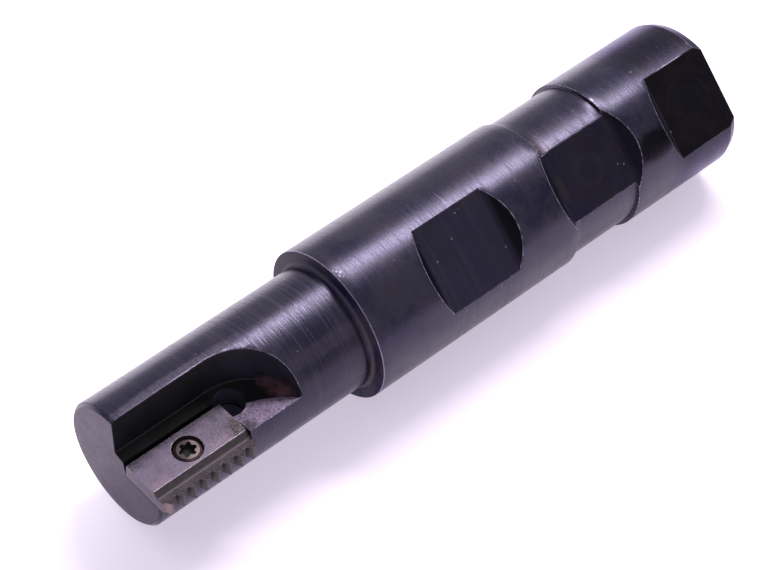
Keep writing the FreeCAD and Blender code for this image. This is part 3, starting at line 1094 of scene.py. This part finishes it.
def screwSteel():
    s = screwLooks
    material, tree = newMaterial("screwSteel")
    grain = cloudy(tree, 3600.0, 0.13)
    # dirt and painted shade towards the recess and in the gap round the head
    dirtAndShade = dirtAndShadeInCorners(tree, 0.00035, 0.5, 1.0)
    slope = split(surfaceNormal(tree))[1].ramp(-0.97, -0.8)
    across = split(spot(tree, turn=(0.0, math.radians(s["shadeTurn"]), 0.0)))[2] - s["shadeMiddle"]
    colour = blend(cloudy(tree, 900.0) * 0.5 + grain * 0.5, s["dull"], s["pale"])
    colour = blend(slope * 0.2, colour, s["slope"])
    colour = blend(across.ramp(-0.0010, 0.0006, 0.0, 0.9), colour, s["shade"])
    colour = blend(dirtAndShade * 0.9, colour, s["sootAndShade"])
    colour = blend(edgeWear(tree, 0.00018, 1800.0) * 0.6, colour, s["steel"])
    metallic = dirtAndShade.ramp(0, 1, 0.75, 0.1) * slope.ramp(0, 1, 1.0, 0.25)
    return dressMaterial(material, colour, metallic, grain.ramp(0, 1, 0.3, 0.46), grain, 0.000004)


# The three pieces

# Body materials in the order of the blank's band numbers:
# shank, nose face, edges, hollows, shoulder, neck, hollows beside the flats, gullet floor.
gulletFloor, hole = gulletOxide("gulletFloor", 0.07), darkHole("darkHole")
body = dress(turnedBlank(), turnedOxide("turnedOxide", 0.61, 0.0, 1.0), groundSteel("nose"),
             edgeOxide("brightEdge"), edgeOxide("crease"), turnedOxide("shoulderOxide", 0.1, 0.2, 2.3),
             turnedOxide("neckOxide", 0.68, -0.01, 0.8), edgeOxide("flatCrease"), gulletFloor)
print("body materials ready")
for (low, high), name in zip(bodySizes["flatSpans"], ("front", "groove", "end")):
    combine(body, dress(flatCutter(low, high), milledFlat(name)))
cutter, above = gulletCutter()
dress(cutter, gulletFloor, gulletOxide("gulletWall", 0.2))
combine(cutter, dress(above, groundSteel("land")), "INTERSECT")
combine(body, cutter)
combine(body, dress(pocketCutter(), gulletFloor))
for drill in (reliefCutter(), tappedHoleCutter(), centreHoleCutter()):
    combine(body, dress(drill, hole))
mergeSlivers(body, bodySizes["slivers"])
roundEdges(body, bodySizes["edgeBreak"], 3, 20, True, 2)
roundEdges(body, bodySizes["hollowRadius"], 2, 30, False, 3)
drawBackStrays(body)
sortStrips(body)
finishPiece(body, "cutter_body")

insert = dress(insertBlank(), *[carbide(name) for name in ("top", "groove", "rake", "flank", "edge")])
combine(insert, toothComb(), "INTERSECT")
combine(insert, insertHole())
sortInsertFaces(insert)
roundEdges(insert, insertSizes["edgeBreak"], 2, 20, True, 4)
finishPiece(insert, "thread_insert")

screw = dress(screwBlank(), screwSteel())
combine(screw, dress(recessCutter(), darkHole("recess")))
roundEdges(screw, screwSizes["edgeBreak"], 2, 20)
finishPiece(screw, "insert_screw")


# Table, lamp, room and camera

stageLooks = {
    "tableColour": (0.96, 0.90, 0.97, 1.0),
    "tableGlow": (0.435, 0.385, 0.465),
    "tableGlowBehind": (0.95, 0.9, 0.97),
    "tableGlowSpan": (-0.012, 0.03),
    "tableReach": 1.4,
    "tableGap": 0.00002,
    "lampTarget": (0.0, 0.0, 0.058),
    "lampWay": (0.235, -0.875, -0.438),
    "lampAway": 0.6,
    "lampAlong": (0.7, 0.0, 0.71),
    "lampSize": (0.31, 0.104),
    "lampPower": 2.3,
    "lampColour": (1.0, 0.95, 1.0),
    "worldColour": (0.9, 0.86, 1.0, 1.0),
    "worldStrength": (0.58, 0.64),
    "lens": 120.9,
    "cameraPlace": (-0.18551, -0.29231, 0.23465),
    "cameraRight": (-0.66409, -0.01251, -0.7475),
    "cameraUp": (0.57125, -0.65353, -0.4966),
}


# Pale table that the tool lies on, seen from its front only.
def tablePlane():
    s = stageLooks
    reach, y = s["tableReach"], bodySizes["shankRadius"] * toMetres + s["tableGap"]
    corners = [(-reach, y, -reach), (reach, y, -reach), (reach, y, reach), (-reach, y, reach)]
    mesh = bpy.data.meshes.new("table")
    mesh.from_pydata(corners, [], [(0, 1, 2, 3)])
    table = bpy.data.objects.new("table", mesh)
    sceneNow.collection.objects.link(table)
    material, tree = newMaterial("table", 0.0)
    dressMaterial(material, s["tableColour"], 0.0, 0.9)
    shader = tree.nodes["Principled BSDF"]
    glow = split(spot(tree))[0].ramp(*s["tableGlowSpan"])
    feed(blend(glow, s["tableGlow"], s["tableGlowBehind"]), shader.inputs["Emission Color"])
    feed(1.0, shader.inputs["Emission Strength"])
    behind, clear = addValue(tree, "NewGeometry", {}, "Backfacing"), addValue(tree, "BsdfTransparent", {})
    seen = addValue(tree, "MixShader", {0: behind, 1: field(tree, shader.outputs[0]), 2: clear})
    feed(seen, tree.nodes["Material Output"].inputs["Surface"])
    mesh.materials.append(material)


def turnedHolder(name, data, place, axes):
    holder = bpy.data.objects.new(name, data)
    holder.matrix_world = Matrix.Translation(place) @ Matrix(axes).transposed().to_4x4()
    sceneNow.collection.objects.link(holder)
    return holder


def areaLamp():
    s = stageLooks
    lamp = bpy.data.lights.new("keyLamp", "AREA")
    lamp.shape = "RECTANGLE"
    lamp.size, lamp.size_y = s["lampSize"]
    lamp.energy = s["lampPower"]
    lamp.color = s["lampColour"]
    place = Vector(s["lampTarget"]) + Vector(s["lampWay"]) * s["lampAway"]
    back = Vector(s["lampWay"]).normalized()
    side = back.cross(Vector(s["lampAlong"])).normalized()
    turnedHolder("keyLamp", lamp, place, (side.cross(back), side, back))


# Room: brighter behind the tool, dark low down past its shank's end.
def lightRoom():
    s = stageLooks
    world = bpy.data.worlds.new("studio")
    sceneNow.world = world
    world.use_nodes = True
    tree = world.node_tree
    x, y, z = split(addValue(tree, "TexCoord", {}, "Generated"))
    gap = z.ramp(-0.455, -0.57) * x.ramp(-0.1, -0.4)
    strength = x.ramp(-0.2, 0.7, *s["worldStrength"]) * z.ramp(0.5, 0.8, 1.0, 0.22)
    strength = strength * gap.ramp(0, 1, 1.0, 0.12)
    shader = tree.nodes["Background"].inputs
    feed(s["worldColour"], shader["Color"])
    feed(strength, shader["Strength"])


def placeCamera():
    s = stageLooks
    data = bpy.data.cameras.new("camera")
    data.lens = s["lens"]
    data.sensor_width = 36
    data.clip_start = 0.01
    right = Vector(s["cameraRight"]).normalized()
    back = right.cross(Vector(s["cameraUp"])).normalized()
    return turnedHolder("camera", data, s["cameraPlace"], (right, back.cross(right), back))


tablePlane()
areaLamp()
lightRoom()
sceneNow.view_settings.view_transform = "Standard"
camera = placeCamera()
bpy.context.scene.camera = camera
print("stage ready")
